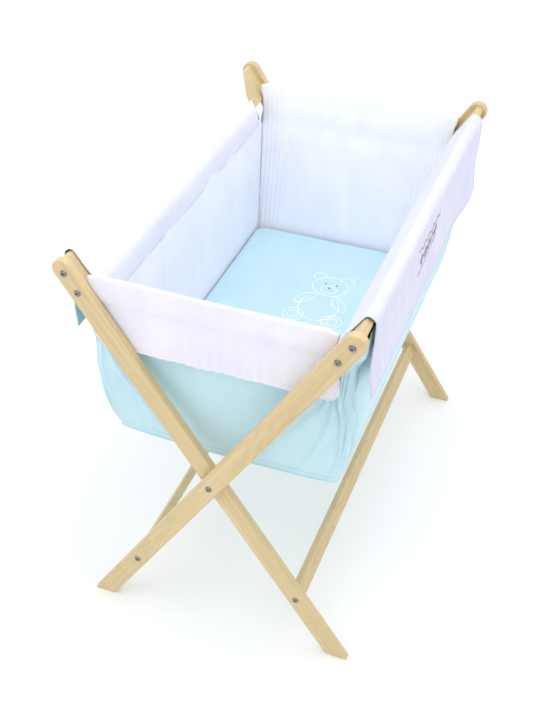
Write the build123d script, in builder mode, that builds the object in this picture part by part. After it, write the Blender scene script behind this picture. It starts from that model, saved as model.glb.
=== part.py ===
from build123d import *
from math import cos, radians, sin, sqrt
import os

# A folding bassinet: two crossed wooden frames turn on a pivot bolt at each end, and a
# cloth basket hangs between the two top rails. Millimetres, +Z up, the origin on the
# floor at the middle. Both frames are the same frame, one turned half a turn about Z.

# Stand
stand_length = 915.1  # over the outer faces of the outer legs
leg_tilt = 57.67  # degrees between a leg and the floor
pivot_height = 422.8
leg_reach = 505.9  # from the pivot to the centre of the leg's round top
board_width = 40.0
board_thickness = 17.0
leg_gap = 1.0  # between the two crossed legs of one end
board_round = 2.5  # rounding of the boards' long edges
rail_depth = 80.0
rail_rise = 14.1  # rail top above the centre of the leg's round top
rail_top_round = 6.0
rail_bolt_inset = 20.6  # upper bolt below the rail's top edge
rail_bolt_spacing = 42.9
stretcher_depth = 30.0
stretcher_drop = 325.0  # from the pivot down to the stretcher's middle
stretcher_bolt_offset = 2.2  # bolt below the stretcher's middle
stretcher_dowel_offset = 9.0  # dowel above the stretcher's middle

# Fasteners
bolt_diameter = 6.0
bolt_head_diameter = 13.0
bolt_head_height = 2.6
bolt_head_taper = 20.0
socket_width = 4.0
socket_depth = 1.8
bolt_past_nut = 8.0  # from a barrel nut's axis to the bolt's end
bolt_end_gap = 0.5  # left in the hole beyond a bolt's end
nut_diameter = 10.0
nut_length = 13.0
nut_distance = 30.0  # barrel nut's axis from the end of the rail or stretcher
dowel_diameter = 6.0
dowel_length = 30.0
dowel_in_leg = 10.0
cap_nut_width = 10.0
cap_nut_height = 5.0
cap_dome_height = 4.0
cap_dome_round = 3.0
washer_diameter = 18.0
wood_clearance = 0.2  # radial, round bolts and nuts in wood
pivot_clearance = 0.05  # radial, between a pivot bolt and the leg that turns on it
thread_clearance = 0.05
side_clearance = 0.2  # beside a leg that turns

# Basket
cloth = 2.0  # thickness of a cloth panel with its interlining
cloth_gap = 1.0  # between cloth panels that lie side by side
sleeve_clearance = 1.5  # between a rail and the inside of its sleeve
sleeve_end_gap = 22.55  # bare rail between a sleeve's mouth and the inner leg
sleeve_seam_drop = 4.0  # outer seam of a sleeve below its inner one
sleeve_taper = 4.0  # how far a sleeve's outer side leans in, down to its seam
flap_end_inset = 8.0  # a side flap's end inside its sleeve's mouth
flap_hinge_gap = 2.0  # between a sleeve's outer seam and its flap
flap_drop = 91.0  # side flap's lower edge below the sleeve's outer seam
basket_depth = 352.0  # from the sleeves' inner seams down to the basket's lower edge
base_side_offset = 4.7  # liner's foot outside the sleeve's inner seam
base_end_inset = 51.8  # basket's base inside the top of its end panels
liner_lift = 3.0  # liner's lower edge above the basket's
side_spread = 9.0  # outer side panel outside the liner, at the base
side_top_inset = 9.0  # outer side panel's top inside the flap
end_top_clearance = 0.75  # between an end flap and the inner leg beside it
end_rail_gap = 4.0  # between an end panel's edge and the rail
end_hem_width = 8.8
end_hem_height = 7.0
end_hem_round = 3.0
end_hem_drop = 29.5  # top of the hem below the top of the sleeves
end_flap_drop = 154.0  # end flap's lower edge below the top of the hem
end_flap_overhang = 4.0  # end flap's side edge outside the liner's foot
end_outer_gap = 5.2  # outer end panel's top under the rail
end_outer_inset = 13.0  # its top corner inside the outer side panel's top
floor_corner = 12.0

# Bedding
board_sheet = 4.0  # thickness of the base board
mattress_thickness = 32.0
cover_thickness = 5.0
bedding_clearance = 4.0  # between the mattress and the liner, all round
bedding_corner = 25.0

tilt_cos = cos(radians(leg_tilt))
tilt_sin = sin(radians(leg_tilt))
half_board = board_width / 2
half_thick = board_thickness / 2
outer_face = stand_length / 2
outer_back = outer_face - board_thickness
inner_face = outer_back - leg_gap
inner_back = inner_face - board_thickness
rail_top = leg_reach + rail_rise
rail_bottom = rail_top - rail_depth
rail_bolts = [rail_top - rail_bolt_inset, rail_top - rail_bolt_inset - rail_bolt_spacing]
stretcher_bolt = -stretcher_drop - stretcher_bolt_offset
stretcher_dowel = -stretcher_drop + stretcher_dowel_offset
bolt_radius = bolt_diameter / 2
nut_radius = nut_diameter / 2
dowel_radius = dowel_diameter / 2
frame_ends = ((inner_back, 1), (-outer_back, -1))  # where a rail meets its two legs
frame_bolt_length = board_thickness + nut_distance + bolt_past_nut
os.makedirs("parts", exist_ok=True)


def spot(s, n=0.0):
    # Outward distance and height of a point s along a leg's centre line from the
    # pivot and n off that line, towards the middle of the basket.
    return (s * tilt_cos - n * tilt_sin, pivot_height + s * tilt_sin + n * tilt_cos)


def foot_spot(n):
    # Where a line along the leg, n off its centre line, meets the floor.
    return spot(-(pivot_height + n * tilt_cos) / tilt_sin, n)


def side_plane(side, y):
    # Upright plane across the stand: local x is outwards, local y is up. Extruding
    # on it goes towards -Y for the right frame and towards +Y for the left one.
    return Plane(origin=(0, side * y, 0), x_dir=(side, 0, 0), z_dir=(0, -side, 0))


def nut_plane(side, s, y, n):
    # Plane across a board at distance s, facing from its outer to its inner face.
    x, z = spot(s, n)
    normal = (-side * tilt_sin, 0, tilt_cos)
    return Plane(origin=(side * x, side * y, z), x_dir=(0, 1, 0), z_dir=normal)


def finish(piece, name):
    piece.part.label = name
    export_step(piece.part, "parts/" + name + ".step")


# Frames. In these functions y is the right frame's; the left frame is turned half a
# turn about Z. end is +1 or -1 at the piece's two ends.


def leg(name, side, y_start, end, pivot_radius):
    with BuildPart() as piece:
        with BuildSketch(side_plane(side, y_start)):
            with BuildLine():
                Line(foot_spot(half_board), foot_spot(-half_board))
                Line(foot_spot(-half_board), spot(leg_reach, -half_board))
                ThreePointArc(
                    spot(leg_reach, -half_board),
                    spot(leg_reach + half_board),
                    spot(leg_reach, half_board),
                )
                Line(spot(leg_reach, half_board), foot_spot(half_board))
            make_face()
        extrude(amount=board_thickness)
        fillet(piece.edges().filter_by(Axis.Y, reverse=True), board_round)
        with BuildSketch(side_plane(side, y_start)):
            with Locations(*[spot(s) for s in [*rail_bolts, stretcher_bolt]]):
                Circle(bolt_radius + wood_clearance)
            with Locations(spot(0)):
                Circle(pivot_radius)
        extrude(amount=board_thickness, mode=Mode.SUBTRACT)
        inner_side = y_start - board_thickness if end > 0 else y_start
        with BuildSketch(side_plane(side, inner_side)):
            with Locations(spot(stretcher_dowel)):
                Circle(dowel_radius)
        extrude(amount=-end * dowel_in_leg, mode=Mode.SUBTRACT)
    finish(piece, name)


def board(name, side, bottom, top, top_round, bolt_spots, dowel_spots):
    # A rail or stretcher between the frame's two legs, with a bolt hole, a cross hole
    # for the barrel nut and any dowel hole at each end.
    with BuildPart() as piece:
        with BuildSketch(side_plane(side, inner_back)):
            Polygon(
                spot(bottom, half_thick), spot(bottom, -half_thick),
                spot(top, -half_thick), spot(top, half_thick), align=None,
            )
        extrude(amount=inner_back + outer_back)
        fillet(piece.edges().filter_by(Axis.Y).sort_by(Axis.Z)[2:], top_round)
        fillet(piece.edges().filter_by(Axis.Y).sort_by(Axis.Z)[:2], board_round)
        for start, end in frame_ends:
            with BuildSketch(side_plane(side, start)):
                with Locations(*[spot(s) for s in bolt_spots]):
                    Circle(bolt_radius + wood_clearance)
            extrude(amount=end * (nut_distance + bolt_past_nut + bolt_end_gap), mode=Mode.SUBTRACT)
            for s in dowel_spots:
                with BuildSketch(side_plane(side, start)):
                    with Locations(spot(s)):
                        Circle(dowel_radius)
                extrude(amount=end * (dowel_length - dowel_in_leg), mode=Mode.SUBTRACT)
            for s in bolt_spots:
                with BuildSketch(nut_plane(side, s, start - end * nut_distance, -half_thick)):
                    Circle(nut_radius + wood_clearance)
                extrude(amount=half_thick + nut_length / 2 + wood_clearance, mode=Mode.SUBTRACT)
    finish(piece, name)


def bolts(name, seats, length):
    # Round-headed bolts with a hexagon socket. Each seat is the middle of the head's
    # underside and the way the head faces along Y.
    with BuildPart() as piece:
        for x, y, z, facing in seats:
            seat = Plane(origin=(x, y, z), x_dir=(1, 0, 0), z_dir=(0, facing, 0))
            with BuildSketch(seat):
                Circle(bolt_radius)
            extrude(amount=-length)
            with BuildSketch(seat):
                Circle(bolt_head_diameter / 2)
            extrude(amount=bolt_head_height, taper=bolt_head_taper)
            with BuildSketch(seat.offset(bolt_head_height)):
                RegularPolygon(socket_width / 2, 6, major_radius=False)
            extrude(amount=-socket_depth, mode=Mode.SUBTRACT)
    finish(piece, name)


def frame_seats(side, bolt_spots):
    # Seats on the outer faces of a frame's two legs.
    places = [spot(s) for s in bolt_spots]
    faces = ((inner_face, 1), (-outer_face, -1))
    return [(side * x, side * y, z, side * end) for x, z in places for y, end in faces]


def barrel_nuts(name, side, bolt_spots):
    with BuildPart() as piece:
        for start, end in frame_ends:
            y = start - end * nut_distance
            for s in bolt_spots:
                with BuildSketch(nut_plane(side, s, y, -nut_length / 2)):
                    Circle(nut_radius)
                extrude(amount=nut_length)
            with BuildSketch(side_plane(side, y)):
                with Locations(*[spot(s) for s in bolt_spots]):
                    Circle(bolt_radius + thread_clearance)
            extrude(amount=nut_diameter, both=True, mode=Mode.SUBTRACT)
    finish(piece, name)


def dowels(name, side):
    with BuildPart() as piece:
        for start, end in frame_ends:
            with BuildSketch(side_plane(side, start + end * dowel_in_leg)):
                with Locations(spot(stretcher_dowel)):
                    Circle(dowel_radius)
            extrude(amount=end * dowel_length)
    finish(piece, name)


for side, frame, leg_names, pivot_radius in (
    (1, "right", ("near_outer_leg", "far_inner_leg"), bolt_radius + pivot_clearance),
    (-1, "left", ("far_outer_leg", "near_inner_leg"), bolt_radius + wood_clearance),
):
    other = {"right": "left", "left": "right"}[frame]
    leg(leg_names[0], side, -outer_back, -1, pivot_radius)
    leg(leg_names[1], side, inner_face, 1, pivot_radius)
    board(frame + "_rail", side, rail_bottom, rail_top, rail_top_round, rail_bolts, [])
    board(
        other + "_stretcher", side, -stretcher_drop - stretcher_depth / 2,
        -stretcher_drop + stretcher_depth / 2, board_round, [stretcher_bolt], [stretcher_dowel],
    )
    bolts(frame + "_rail_bolts", frame_seats(side, rail_bolts), frame_bolt_length)
    bolts(other + "_stretcher_bolts", frame_seats(side, [stretcher_bolt]), frame_bolt_length)
    barrel_nuts(frame + "_rail_nuts", side, rail_bolts)
    barrel_nuts(other + "_stretcher_nuts", side, [stretcher_bolt])
    dowels(other + "_stretcher_dowels", side)


# Pivot: one bolt at each end goes through both legs. The left frame's legs hold it,
# and the right frame's turn on it, so the gaps are beside those.
pivot_ends = ((-1, side_clearance, 0.0), (1, 0.0, side_clearance))


def pivot_plane(end, y):
    return Plane(origin=(0, end * y, pivot_height), x_dir=(1, 0, 0), z_dir=(0, end, 0))


bolts(
    "pivot_bolts",
    [(0, end * (outer_face + head_gap), pivot_height, end) for end, head_gap, nut_gap in pivot_ends],
    outer_face - inner_back + side_clearance + cap_nut_height - bolt_end_gap,
)

with BuildPart() as pivot_washers:
    for end, washer_seat in ((-1, inner_face), (1, outer_back)):
        with BuildSketch(pivot_plane(end, washer_seat)):
            Circle(washer_diameter / 2)
            Circle(bolt_radius + wood_clearance, mode=Mode.SUBTRACT)
        extrude(amount=-end * (leg_gap - side_clearance))
finish(pivot_washers, "pivot_washers")

with BuildPart() as pivot_cap_nuts:
    for end, head_gap, nut_gap in pivot_ends:
        nut_seat = inner_back - nut_gap
        with BuildSketch(pivot_plane(-end, -nut_seat)):
            RegularPolygon(cap_nut_width / 2, 6, major_radius=False)
        extrude(amount=cap_nut_height)
        with BuildSketch(pivot_plane(-end, cap_nut_height - nut_seat)):
            Circle(cap_nut_width / 2)
        dome = extrude(amount=cap_dome_height)
        dome_rim = dome.faces().filter_by(Axis.Y).sort_by(Axis.Y)[0 if end > 0 else -1]
        fillet(dome_rim.edges(), cap_dome_round)
        with BuildSketch(pivot_plane(-end, -nut_seat)):
            Circle(bolt_radius + thread_clearance)
        extrude(amount=cap_nut_height, mode=Mode.SUBTRACT)
finish(pivot_cap_nuts, "pivot_cap_nuts")


# Basket. A sleeve goes round each rail; its section is five corners, given as outward
# distance and height.
skin = half_thick + sleeve_clearance + cloth
sleeve_over = sleeve_clearance + cloth
inner_seam = spot(rail_bottom - sleeve_over, skin)
inner_crown = spot(rail_top + sleeve_over, skin)
outer_crown = spot(rail_top + sleeve_over, -skin)
under_rail = spot(rail_bottom - sleeve_over, -skin)
outer_seam = (outer_crown[0] - sleeve_taper, under_rail[1] - sleeve_seam_drop)
half_sleeve = inner_back - sleeve_end_gap
half_base = inner_seam[0] + base_side_offset
base_height = inner_seam[1] - basket_depth
liner_foot = base_height + liner_lift
end_outside = inner_back - end_top_clearance
half_length = end_outside - base_end_inset
end_hem_top = inner_crown[1] - end_hem_drop
end_panel_top = end_hem_top - end_hem_height - cloth_gap
end_flap_bottom = end_hem_top - end_flap_drop
flap_inside = outer_seam[0] - cloth
flap_top = outer_seam[1] - flap_hinge_gap
flap_bottom = outer_seam[1] - flap_drop
half_flap = half_sleeve - flap_end_inset
side_top = outer_seam[1] - cloth_gap - cloth
side_top_inside = flap_inside - side_top_inset
end_outer_top = under_rail[1] - end_outer_gap


def under_sleeve(x):
    # Height of a sleeve's lower side at outward distance x from the middle.
    slope = (under_rail[1] - inner_seam[1]) / (under_rail[0] - inner_seam[0])
    return inner_seam[1] + slope * (x - inner_seam[0])


def beside_rail(z):
    # Half width left for an end panel between the rails' inner faces at height z.
    s = (z - pivot_height - half_thick * tilt_cos) / tilt_sin
    return spot(s, half_thick)[0] - end_rail_gap


def sleeve(name, side):
    with BuildPart() as piece:
        with BuildSketch(side_plane(side, half_sleeve)) as section:
            Polygon(inner_seam, inner_crown, outer_crown, outer_seam, under_rail, align=None)
            crowns = section.vertices().sort_by(Axis.Y)[-2:]
            fillet(crowns, rail_top_round + sleeve_over)
            offset(amount=-cloth, mode=Mode.SUBTRACT)
        extrude(amount=2 * half_sleeve)
    finish(piece, name)


def panel(name, outward, foot, top, halves):
    # A flat panel that leans out as it rises. foot and top are its inner face's
    # distance from the middle and height; halves are its half widths and heights.
    lean = top[0] - foot[0]
    rise = top[1] - foot[1]
    slope = sqrt(lean * lean + rise * rise)
    plane = Plane(
        origin=(outward[0] * foot[0], outward[1] * foot[0], foot[1]),
        x_dir=(-outward[1], outward[0], 0),
        z_dir=(outward[0] * rise / slope, outward[1] * rise / slope, -lean / slope),
    )
    edge = [(half, (z - foot[1]) * slope / rise) for half, z in halves]
    with BuildPart() as piece:
        with BuildSketch(plane):
            Polygon(*edge, *[(-half, up) for half, up in reversed(edge)], align=None)
        extrude(amount=cloth)
    finish(piece, name)


for side, name in ((1, "right"), (-1, "left")):
    outward = (side, 0)
    sleeve(name + "_sleeve", side)
    panel(
        name + "_flap", outward, (flap_inside, flap_bottom), (flap_inside, flap_top),
        [(half_flap, flap_bottom), (half_flap, flap_top)],
    )
    liner_top = under_sleeve(half_base) - cloth_gap
    liner_inside = half_base - cloth
    panel(
        name + "_liner", outward, (liner_inside, liner_foot), (liner_inside, liner_top),
        [(half_length - cloth - cloth_gap, liner_foot), (half_sleeve, liner_top)],
    )
    panel(
        name + "_outer_panel", outward, (half_base + side_spread, base_height),
        (side_top_inside, side_top), [(half_length, base_height), (half_sleeve, side_top)],
    )

notch = spot(rail_bottom, half_thick)[1]  # height of a rail's inner lower edge
for end, name in ((-1, "near"), (1, "far")):
    outward = (0, end)
    liner_top_inside = end_outside - end_hem_width
    panel(
        name + "_liner", outward, (half_length - cloth, liner_foot),
        (liner_top_inside, end_panel_top),
        [
            (half_base - cloth - cloth_gap, liner_foot),
            (beside_rail(notch), notch),
            (beside_rail(end_panel_top), end_panel_top),
        ],
    )
    end_lean = (liner_top_inside - half_length + cloth) / (end_panel_top - liner_foot)
    outer_foot = half_length + cloth_gap
    panel(
        name + "_outer_panel", outward, (outer_foot, base_height),
        (outer_foot + end_lean * (end_outer_top - base_height), end_outer_top),
        [
            (half_base + side_spread - cloth_gap, base_height),
            (side_top_inside - end_outer_inset, end_outer_top),
        ],
    )
    panel(
        name + "_flap", outward, (end_outside - cloth, end_flap_bottom),
        (end_outside - cloth, end_panel_top),
        [
            (half_base + end_flap_overhang, end_flap_bottom),
            (half_base + end_flap_overhang, under_rail[1]),
            (beside_rail(notch), notch),
            (beside_rail(end_panel_top), end_panel_top),
        ],
    )
    hem_half = beside_rail(end_panel_top)
    hem_plane = Plane(
        origin=(-hem_half, end * (end_outside - end_hem_width / 2), end_hem_top - end_hem_height / 2),
        x_dir=(0, 1, 0),
        z_dir=(1, 0, 0),
    )
    with BuildPart() as hem:
        with BuildSketch(hem_plane):
            RectangleRounded(end_hem_width, end_hem_height, end_hem_round)
        extrude(amount=2 * hem_half)
    finish(hem, name + "_hem")


# Floor of the basket and the bedding, from the bottom up.
floor_top = base_height - cloth_gap
board_bottom = floor_top + cloth_gap
mattress_bottom = board_bottom + board_sheet
bed_width = 2 * (half_base - cloth - bedding_clearance)
bed_length = 2 * (half_length - cloth - bedding_clearance)

layers = (
    ("basket_floor", 2 * (half_base + side_spread - cloth_gap), 2 * half_length,
     floor_corner, floor_top - cloth, cloth),
    ("base_board", bed_width, bed_length, bedding_corner, board_bottom, board_sheet),
    ("mattress", bed_width, bed_length, bedding_corner, mattress_bottom, mattress_thickness),
    ("mattress_cover", bed_width, bed_length, bedding_corner,
     mattress_bottom + mattress_thickness, cover_thickness),
)
for name, width, length, corner, bottom, thickness in layers:
    with BuildPart() as layer:
        with BuildSketch(Plane.XY.offset(bottom)):
            RectangleRounded(width, length, corner)
        extrude(amount=thickness)
    finish(layer, name)
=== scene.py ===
import math

import bpy
import numpy as np
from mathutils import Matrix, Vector


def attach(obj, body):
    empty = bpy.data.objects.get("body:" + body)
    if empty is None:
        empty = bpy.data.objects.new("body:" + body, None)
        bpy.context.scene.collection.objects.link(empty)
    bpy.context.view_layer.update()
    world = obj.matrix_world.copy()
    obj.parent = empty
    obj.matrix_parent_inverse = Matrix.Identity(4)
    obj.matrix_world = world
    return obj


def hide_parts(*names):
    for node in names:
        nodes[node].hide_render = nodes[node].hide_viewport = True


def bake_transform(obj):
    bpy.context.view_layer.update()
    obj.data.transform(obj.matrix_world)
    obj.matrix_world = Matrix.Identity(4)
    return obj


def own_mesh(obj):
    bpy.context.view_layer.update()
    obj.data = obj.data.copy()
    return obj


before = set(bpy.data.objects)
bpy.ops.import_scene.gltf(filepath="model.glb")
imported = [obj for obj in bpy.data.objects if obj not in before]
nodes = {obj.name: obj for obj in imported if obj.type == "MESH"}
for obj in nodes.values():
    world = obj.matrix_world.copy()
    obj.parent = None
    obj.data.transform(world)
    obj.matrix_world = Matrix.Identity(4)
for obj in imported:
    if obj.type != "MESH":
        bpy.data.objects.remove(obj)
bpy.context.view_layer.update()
scene = bpy.context.scene
print("frame loaded:", len(nodes), "nodes")

studio = {
    "cameraPlace": (0.62213, -1.73749, 1.90263),
    "cameraAzimuth": 21.174,
    "cameraElevation": 39.278,
    "lens": 53.17,
    "sensor": 36.0,
    "skyColour": (0.975, 0.985, 1.0),
    "skyStrength": 1.02,
    "floorColour": (0.985, 0.985, 0.985),
    "floorHalf": 6.0,
    "lamps": [   # place, aim, size, watts, colour
        ((-1.9, -1.5, 3.0), (0.0, 0.0, 0.6), 2.2, 7.0, (1.0, 0.985, 0.96)),
        ((0.5, 0.1, 3.1), (0.0, 0.0, 0.6), 1.6, 7.0, (0.99, 0.99, 1.0)),
        ((0.26, -0.1, 2.2), (-0.24, 0.0, 0.66), 0.8, 6.0, (0.98, 0.99, 1.0)),
        ((-0.2, -1.3, 3.0), (0.0, 0.40, 0.60), 1.2, 5.5, (0.98, 0.99, 1.0)),
    ],
}


bothSides, bothEnds = ((1, "right"), (-1, "left")), ((-1, "near"), (1, "far"))


# shapes
def ease(t):
    # three t squared less two t cubed, held at 0 and 1 outside
    t = np.clip(t, 0, 1)
    return t * t * (3 - 2 * t)


def bell(t, centre, width):
    # e to the minus square of the distance from the centre, counted in widths
    return np.exp(-(((t - centre) / width) ** 2))


def fade(u, first, width):
    # 1 up to first, then eased to 0 over width, on both sides of the middle
    return 1 - ease((np.abs(u) - first) / width)


def ripple(p, q, seed, waves=9, pitch=0.08):
    # a sum of cosines of random direction and phase, pitch metres apart, scaled to about 1
    draw = np.random.default_rng(seed)
    total = np.zeros(np.broadcast(p, q).shape)
    for k in range(waves):
        turn = draw.uniform(0, math.tau)
        phase = draw.uniform(0, math.tau)
        rate = math.tau / (pitch * draw.uniform(0.7, 1.5))
        total = total + np.cos(rate * (p * math.cos(turn) + q * math.sin(turn)) + phase)
    return total / math.sqrt(waves)


def rounded(points, cuts=4):
    # each pass cuts every corner at a quarter and three quarters of its sides
    line = np.array(points, float)
    for k in range(cuts):
        a, b = line[:-1], line[1:]
        inner = np.stack([a * 0.75 + b * 0.25, a * 0.25 + b * 0.75], 1).reshape(-1, line.shape[1])
        line = np.concatenate([line[:1], inner, line[-1:]])
    return line


def lengths(line):
    # length walked along a line up to each of its points
    return np.concatenate([[0.0], np.cumsum(np.linalg.norm(np.diff(line, axis=0), axis=1))])


def pathAt(line, share):
    # the point at that share of a line's whole length
    walked = lengths(line)
    at = np.asarray(share) * walked[-1]
    return np.stack([np.interp(at, walked, line[:, k]) for k in range(line.shape[1])], -1)


def sectionAt(line, v):
    # outward distance and height of a section at length share v
    at = pathAt(line, np.clip(v, 0, 1))
    return at[..., 0], at[..., 1]


def shareAt(line, axis, value, last=False):
    # the share of the length where the line first (or last) comes nearest to a value of one coordinate
    gap = np.abs(line[:, axis] - value)
    k = len(gap) - 1 - np.argmin(gap[::-1]) if last else np.argmin(gap)
    walked = lengths(line)
    return walked[k] / walked[-1]


def unit(vectors):
    # each vector divided by its own length
    return vectors / np.maximum(np.linalg.norm(vectors, axis=-1, keepdims=True), 1e-12)


def gridQuads(rows, cols, closed=False, looped=False):
    # point numbers of the quads between neighbours; closed joins the last column to the first,
    # looped the last row to the first
    i, j = np.meshgrid(np.arange(rows if looped else rows - 1), np.arange(cols if closed else cols - 1),
                       indexing="ij")
    below, beside = (i + 1) % rows, (j + 1) % cols
    return np.stack([i * cols + j, i * cols + beside, below * cols + beside, below * cols + j], -1)


def meshPiece(name, points, faces, material, uv=None):
    # one smooth mesh object from points and faces, with its uv per face corner
    mesh = bpy.data.meshes.new(name)
    faces = faces.tolist() if isinstance(faces, np.ndarray) else faces
    mesh.from_pydata(np.asarray(points, float).tolist(), [], faces)
    mesh.polygons.foreach_set("use_smooth", [True] * len(mesh.polygons))
    if uv is not None:
        mesh.uv_layers.new(name="cloth").data.foreach_set("uv", np.asarray(uv, np.float32).ravel())
    mesh.update()
    piece = bpy.data.objects.new(name, mesh)
    scene.collection.objects.link(piece)
    piece.data.materials.append(material)
    return piece


def clothPiece(name, points, material, lining=None, cloth=0.0016, closed=False, flip=False):
    # quads between neighbours of a grid; uv is the mean length walked across and along it, in metres
    rows, cols = points.shape[:2]
    quads = gridQuads(rows, cols, closed)
    i, j = np.indices(quads.shape[:2])
    across = np.linalg.norm(np.roll(points, -1, 1) - points, axis=-1).mean(0)
    across = np.concatenate([[0.0], np.cumsum(across)])
    up = np.concatenate([[0.0], np.cumsum(np.linalg.norm(np.diff(points, axis=0), axis=-1).mean(1))])
    corners = [(j, i), (j + 1, i), (j + 1, i + 1), (j, i + 1)]
    uv = np.stack([np.stack([across[c], up[r]], -1) for c, r in corners], -2)
    if flip:
        quads, uv = quads[..., ::-1], uv[..., ::-1, :]
    piece = meshPiece(name, points.reshape(-1, 3), quads.reshape(-1, 4), material, uv)
    thick = piece.modifiers.new("thickness", "SOLIDIFY")
    thick.thickness, thick.offset = cloth, -1
    if lining:
        piece.data.materials.append(lining)
        thick.material_offset = 1
    return piece


def surfaceGrid(surface, rows, cols):
    # the surface at evenly spaced u from -1 to 1 and v from 0 to 1
    return surface(*np.meshgrid(np.linspace(-1, 1, cols), np.linspace(0, 1, rows)))


def onSurface(surface, u, v, lift):
    # points lifted off a surface along its normal, the cross product of its two slopes
    u, v = np.broadcast_arrays(np.asarray(u, float), np.asarray(v, float))
    step = 1e-3
    alongU = surface(u + step, v) - surface(u - step, v)
    alongV = surface(u, v + step) - surface(u, v - step)
    normal = unit(np.cross(alongU, alongV))
    return surface(u, v) + normal * lift, normal


def tube(path, normal, radius, flat=1.0, sides=6, closed=False):
    # rings of points about a path: cosine along the normal, sine along the tangent crossed with it
    path = np.asarray(path, float)
    before, after = np.roll(path, 1, 0), np.roll(path, -1, 0)
    if not closed:
        before[0], after[-1] = path[0], path[-1]
    tangent = unit(after - before)
    side = unit(np.cross(tangent, np.broadcast_to(np.asarray(normal, float), path.shape)))
    normal = np.cross(side, tangent)
    turn = np.linspace(0, math.tau, sides, endpoint=False)
    ring = (np.cos(turn)[None, :, None] * normal[:, None] * flat
            + np.sin(turn)[None, :, None] * side[:, None]) * radius
    points = (path[:, None] + ring).reshape(-1, 3)
    faces = gridQuads(len(path), sides, True, closed).reshape(-1, 4).tolist()
    if not closed:
        faces += [list(range(sides))[::-1], list(range(len(points) - sides, len(points)))]
    return points, faces


def joined(parts):
    # several point and face lists as one, with the face numbers moved up
    points, faces, start = [], [], 0
    for p, f in parts:
        points.append(p)
        faces += [[k + start for k in face] for face in f]
        start += len(p)
    return np.concatenate(points), faces


def tubePiece(name, parts, material):
    # several tubes or stitch rows as one piece
    return meshPiece(name, *joined(parts), material)


stitch = {"pitch": 0.0042, "length": 0.0030, "radius": 0.00042, "flat": 0.7, "lift": 0.0003, "sides": 6}


def stitchRow(path, normal):
    # short tapered capsules, a pitch apart along a path, lying in its tangent
    walked = lengths(path)
    count = max(2, int(walked[-1] / stitch["pitch"]))
    at = (np.arange(count) + 0.5) / count * walked[-1]

    def pick(line):
        # values along a line at the middle of each stitch
        return np.stack([np.interp(at, walked, line[:, k]) for k in range(3)], -1)

    centre, up = pick(path), pick(np.broadcast_to(normal, path.shape))
    slope = unit(pick(unit(np.gradient(path, axis=0))))
    side = unit(np.cross(slope, up))
    sides = stitch["sides"]
    turn = np.linspace(0, math.tau, sides, endpoint=False)[None, None, :, None]
    ends = np.array([-0.5, -0.34, 0.34, 0.5])[None, :, None, None] * stitch["length"]
    girth = np.array([0.35, 1.0, 1.0, 0.35])[None, :, None, None] * stitch["radius"]
    ring = (np.cos(turn) * up[:, None, None] * stitch["flat"] + np.sin(turn) * side[:, None, None]) * girth
    points = centre[:, None, None] + slope[:, None, None] * ends + ring
    size = 4 * sides
    one = gridQuads(4, sides, True).reshape(-1, 4)
    faces = (one[None] + np.arange(count)[:, None, None] * size).reshape(-1, 4).tolist()
    for k in range(0, count * size, size):
        faces += [list(range(k, k + sides))[::-1], list(range(k + 3 * sides, k + size))]
    return points.reshape(-1, 3), faces


def edging(word, surface, loop, rows, radius, flat, material):
    # a rolled hem along the joined stretches of a flap's edge, and rows of stitches given by u, v and lift
    path, normal = [np.concatenate(part) for part in zip(*[onSurface(surface, u, v, 0) for u, v in loop])]
    hem = tubePiece(word + "_flap_hem", [tube(path, normal, radius, flat, 8)], material)
    rows = [stitchRow(*onSurface(surface, *row)) for row in rows]
    return hem, tubePiece(word + "_flap_stitching", rows, whiteThread)


# shader groups
def newGroup(name, inputs, outputs):
    # an empty node group with its named inputs and outputs
    tree = bpy.data.node_groups.new(name, "ShaderNodeTree")
    for label, kind, value in inputs:
        made = tree.interface.new_socket(label, in_out="INPUT", socket_type="NodeSocket" + kind)
        if value is not None:
            made.default_value = value
    for label, kind in outputs:
        tree.interface.new_socket(label, in_out="OUTPUT", socket_type="NodeSocket" + kind)
    return tree, tree.nodes.new("NodeGroupInput").outputs, tree.nodes.new("NodeGroupOutput")


def feed(tree, node, links):
    # each (input name or number, source): a socket is linked, a value is set on the input itself
    for label, source in links:
        if isinstance(source, bpy.types.NodeSocket):
            tree.links.new(source, node.inputs[label])
        else:
            node.inputs[label].default_value = source


def addNode(tree, kind, links=(), **settings):
    # a node with its settings and inputs
    made = tree.nodes.new("ShaderNode" + kind)
    for key, value in settings.items():
        setattr(made, key, value)
    feed(tree, made, links)
    return made


def maths(tree, operation, a, b=0.0, c=0.0):
    # one operation on up to three numbers; MULTIPLY_ADD is a times b plus c
    return addNode(tree, "Math", [(0, a), (1, b), (2, c)], operation=operation).outputs[0]


def vectorMaths(tree, operation, a, b):
    # one operation on two vectors; SCALE is a vector times a number
    return addNode(tree, "VectorMath", [(0, a), (3 if operation == "SCALE" else 1, b)],
                   operation=operation).outputs[0]


def remap(tree, value, low, high, first=0.0, last=1.0):
    # low to high becomes first to last, held outside
    return addNode(tree, "MapRange", [("Value", value), ("From Min", low), ("From Max", high),
                   ("To Min", first), ("To Max", last)]).outputs[0]


def blendColour(tree, share, a, b):
    # two colours mixed by a share
    pair = [c if isinstance(c, bpy.types.NodeSocket) else (*c, 1.0) for c in (a, b)]
    return addNode(tree, "Mix", [("Factor", share), (6, pair[0]), (7, pair[1])],
                   data_type="RGBA").outputs[2]


def stretched(tree, vector, scale):
    # a vector times a scale for each axis
    return addNode(tree, "Mapping", [("Vector", vector), ("Scale", scale)]).outputs[0]


def noise(tree, vector, scale, detail=2.0, rough=0.5):
    # noise of the given scale, detail and roughness, from 0 to 1
    return addNode(tree, "TexNoise", [("Vector", vector), ("Scale", scale),
                   ("Detail", detail), ("Roughness", rough)]).outputs[0]


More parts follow.
